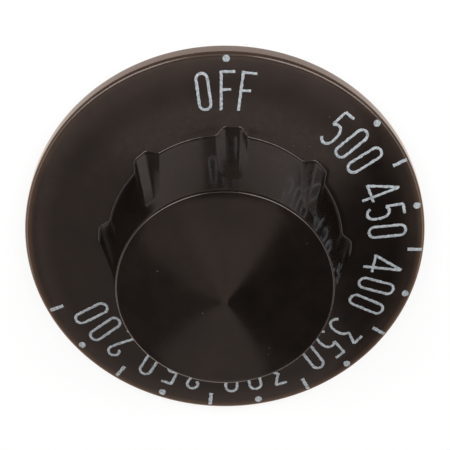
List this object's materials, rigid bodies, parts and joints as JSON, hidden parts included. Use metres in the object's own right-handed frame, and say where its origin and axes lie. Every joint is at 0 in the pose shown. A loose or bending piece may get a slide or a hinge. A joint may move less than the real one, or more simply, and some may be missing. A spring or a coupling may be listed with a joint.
{
  "type": "oven control knob",
  "caption": "Round moulded oven control knob: a flat printed dial skirt round a tapered ribbed grip with a low conical cap, and a D-shaped shaft socket behind.",
  "frame": {"origin": "on the turning axis, in the plane of the skirt rim's back face, on which the knob rests", "axes": "+Z along the turning axis from the back towards the cap; +Y through the grip rib next to the off mark, which is also where the socket's flat faces; +X to the right of the off mark seen from the cap"},
  "size_m": [0.0636, 0.0634, 0.0241],
  "materials": {
    "phenolic": "glossy black phenolic moulding",
    "spring_steel": "rolled spring steel strip",
    "dial_ink": "white printed ink"
  },
  "bodies": {
    "root": {"dial_body": "phenolic", "shaft_spring": "spring_steel"}
  },
  "joints": []
}
